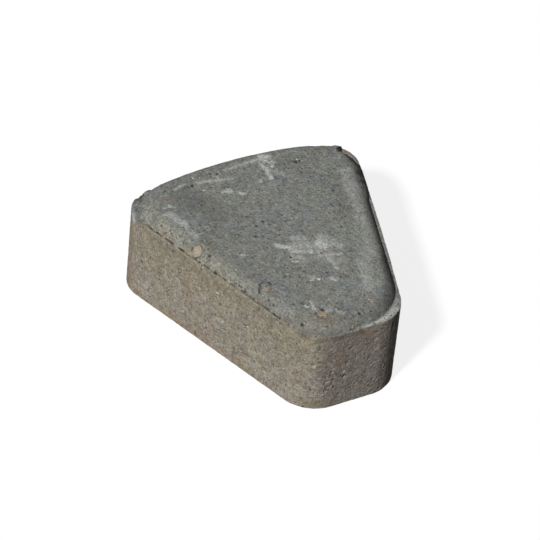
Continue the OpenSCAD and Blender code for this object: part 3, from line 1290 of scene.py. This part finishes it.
        # Painted shade and dirt in hollows and pores.
        hollow = g.attribute(Mark.HOLLOW) * (0.9 + 0.7 * g.noise(1.1))
        hollow = g.maths("MAXIMUM", g.step(0.1, 0.9, hollow), 0.75 * pores)
        return g.blend(0.9 * hollow, base, self.shade_and_dirt)


# ---- Pieces ----------------------------------


def placed(name: str, data: ID) -> Object:
    """Return a new object of some data, in the scene."""
    made = bpy.data.objects.new(name, data)
    bpy.context.scene.collection.objects.link(made)
    return made


def mesh_object(bm: BMesh, name: str, material: Material) -> Object:
    """Make an object of a mesh, at the origin, with its place in its mesh.

    Args:
        bm: The mesh, which is freed.
        name: The object's name.
        material: Its material.

    Returns:
        The object.
    """
    mesh = bpy.data.meshes.new(name)
    bm.to_mesh(mesh)
    bm.free()
    mesh.materials.append(material)
    return placed(name, mesh)


@dataclass
class PavingStone:
    """The stone: its form, its relief and its finish."""

    form: StoneForm = field(default_factory=StoneForm)
    facing: Facing = field(default_factory=Facing)
    roughness: Roughness = field(default_factory=Roughness)
    crease: Crease = field(default_factory=Crease)
    weathering: Weathering = field(default_factory=Weathering)
    finish: PressedConcrete = field(default_factory=PressedConcrete)
    # How far at least the surface stays below the smooth form.
    margin: float = 0.03

    def build(self) -> Object:
        """Build the stone and let it stand for its CAD node.

        Returns:
            The stone's piece.
        """
        skin = Skin(self.form.build())
        for layer in (self.facing, self.roughness, self.crease):
            layer.apply(skin, self.form)
        wear = self.weathering
        pebbles = list(wear.pebbles())
        for chance_mark in wear.scattered(skin, self.form):
            if isinstance(chance_mark, Pebble):
                pebbles.append(chance_mark)
            else:
                chance_mark.apply(skin)
        for mark in (*wear.pits(), *wear.breaks(), *wear.smears()):
            mark.apply(skin)
        for pebble in pebbles:
            pebble.socket(skin)
        skin.settle(self.margin)
        for pebble in pebbles:
            pebble.add(skin)
        bmesh.ops.scale(skin.bm, vec=(MM, MM, MM), verts=skin.bm.verts)
        for face in skin.bm.faces:
            face.smooth = True
        piece = mesh_object(skin.bm, "pressed_stone", self.finish.make())
        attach(piece, BODY)
        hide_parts(NODE)
        return piece


# ---- Stage -----------------------------------


@dataclass(frozen=True)
class Lamp:
    """A sun lamp, by the direction that its light comes from."""

    name: str
    light_from: Triple
    strength: float
    spread: float

    def build(self) -> None:
        """Hang the lamp."""
        lamp = bpy.data.lights.new(self.name, "SUN")
        lamp.energy = self.strength
        lamp.angle = math.radians(self.spread)
        made = placed(self.name, lamp)
        made.rotation_mode = "QUATERNION"
        made.rotation_quaternion = Vector(self.light_from).to_track_quat("Z", "Y")


@dataclass(frozen=True)
class Studio:
    """Floor, light and world for a pale setting that keeps the stone's shadow."""

    lamps: tuple[Lamp, ...] = (
        Lamp("key", (-0.639, -0.349, 0.686), 4.36, 6.0),
        Lamp("fill", (0.2, 0.87, 0.45), 0.32, 60.0),
    )
    sky: Colour = (0.026, 0.031, 0.042)
    floor_half: float = 6.0
    floor_grey: float = 0.1
    shadow_share: float = 0.15
    white: tuple[float, float, float, float] = (1.0, 1.0, 1.0, 1.0)

    def build(self) -> None:
        """Build the setting."""
        self._floor()
        self._world()
        for lamp in self.lamps:
            lamp.build()

    def _floor(self) -> None:
        """Build a floor that looks white, keeps a soft shadow and throws little light back."""
        bm = bmesh.new()
        bmesh.ops.create_grid(bm, x_segments=1, y_segments=1, size=self.floor_half)
        g = Graph(bpy.data.materials.new("white_floor"))
        glow = g.node("ShaderNodeEmission", {}, {"Color": self.white, "Strength": 1.0})
        lit = g.node("ShaderNodeBsdfDiffuse", {}, {"Color": self.white})
        shown = g.node("ShaderNodeMixShader", {}, {0: self.shadow_share, 1: g.out(glow), 2: g.out(lit)})
        dull = g.node("ShaderNodeBsdfDiffuse", {}, {"Color": (*(self.floor_grey,) * 3, 1)})
        both = g.node("ShaderNodeMixShader", {}, {0: g.seen(), 1: g.out(dull), 2: g.out(shown)})
        g.node("ShaderNodeOutputMaterial", {}, {"Surface": g.out(both)})
        floor = mesh_object(bm, "floor", g.owner)
        floor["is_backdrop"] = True

    def _world(self) -> None:
        """Give the world a soft grey light that looks white."""
        g = Graph(bpy.data.worlds.new("sky"))
        dim = g.node("ShaderNodeBackground", {}, {"Color": (*self.sky, 1)})
        white = g.node("ShaderNodeBackground", {}, {"Color": self.white})
        both = g.node("ShaderNodeMixShader", {}, {0: g.seen(), 1: g.out(dim), 2: g.out(white)})
        g.node("ShaderNodeOutputWorld", {}, {"Surface": g.out(both)})
        bpy.context.scene.world = g.owner


@dataclass(frozen=True)
class Viewpoint:
    """The camera: a long lens that looks down on the stone past its left-hand flank."""

    azimuth: float = -32.173
    elevation: float = 40.182
    roll: float = 6.071
    distance: float = 2104.4
    lens: float = 243.14
    middle: Triple = (0.0, 0.0, 30.0)
    aim_across: float = -10.51
    aim_up: float = 2.885
    nearest: float = 0.05
    farthest: float = 50.0

    def build(self) -> None:
        """Place the camera and make it the scene's own."""
        a, e, roll = (math.radians(x) for x in (self.azimuth, self.elevation, self.roll))
        back = Vector((math.sin(a) * math.cos(e), -math.cos(a) * math.cos(e), math.sin(e)))
        level = Vector((0, 0, 1)).cross(back).normalized()
        turn = Matrix.Rotation(roll, 3, back)
        right, up = turn @ level, turn @ back.cross(level)
        middle = Vector(self.middle)
        place = middle + back * self.distance
        back = (place - middle - right * self.aim_across - up * self.aim_up).normalized()
        right = up.cross(back).normalized()
        up = back.cross(right)
        data = bpy.data.cameras.new("camera")
        data.lens = self.lens
        data.clip_start, data.clip_end = self.nearest, self.farthest
        camera = placed("camera", data)
        facing = Matrix((right, up, back)).transposed().to_4x4()
        camera.matrix_world = Matrix.Translation(place * MM) @ facing
        bpy.context.scene.camera = camera


def write_sizes(boxes: dict[str, Iterable[Vector]]) -> None:
    """Build corner pairs as plain lists, which are not kept; nothing is written to a file.

    Args:
        boxes: The lowest and highest corner of each named box.
    """
    {name: [list(corner) for corner in box] for name, box in boxes.items()}


def main() -> None:
    """Build the stone and its setting in order, and log the stone's triangle count."""
    logging.basicConfig(level=logging.INFO, format="%(name)s: %(message)s")
    Viewpoint().build()
    stone = PavingStone().build()
    stone.data.calc_loop_triangles()
    log.info("%s has %d triangles", stone.name, len(stone.data.loop_triangles))
    Studio().build()
    bpy.context.scene.view_settings.view_transform = "Standard"
    write_sizes({"cad": cad_box, "visual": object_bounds()})


if __name__ == "__main__":
    main()
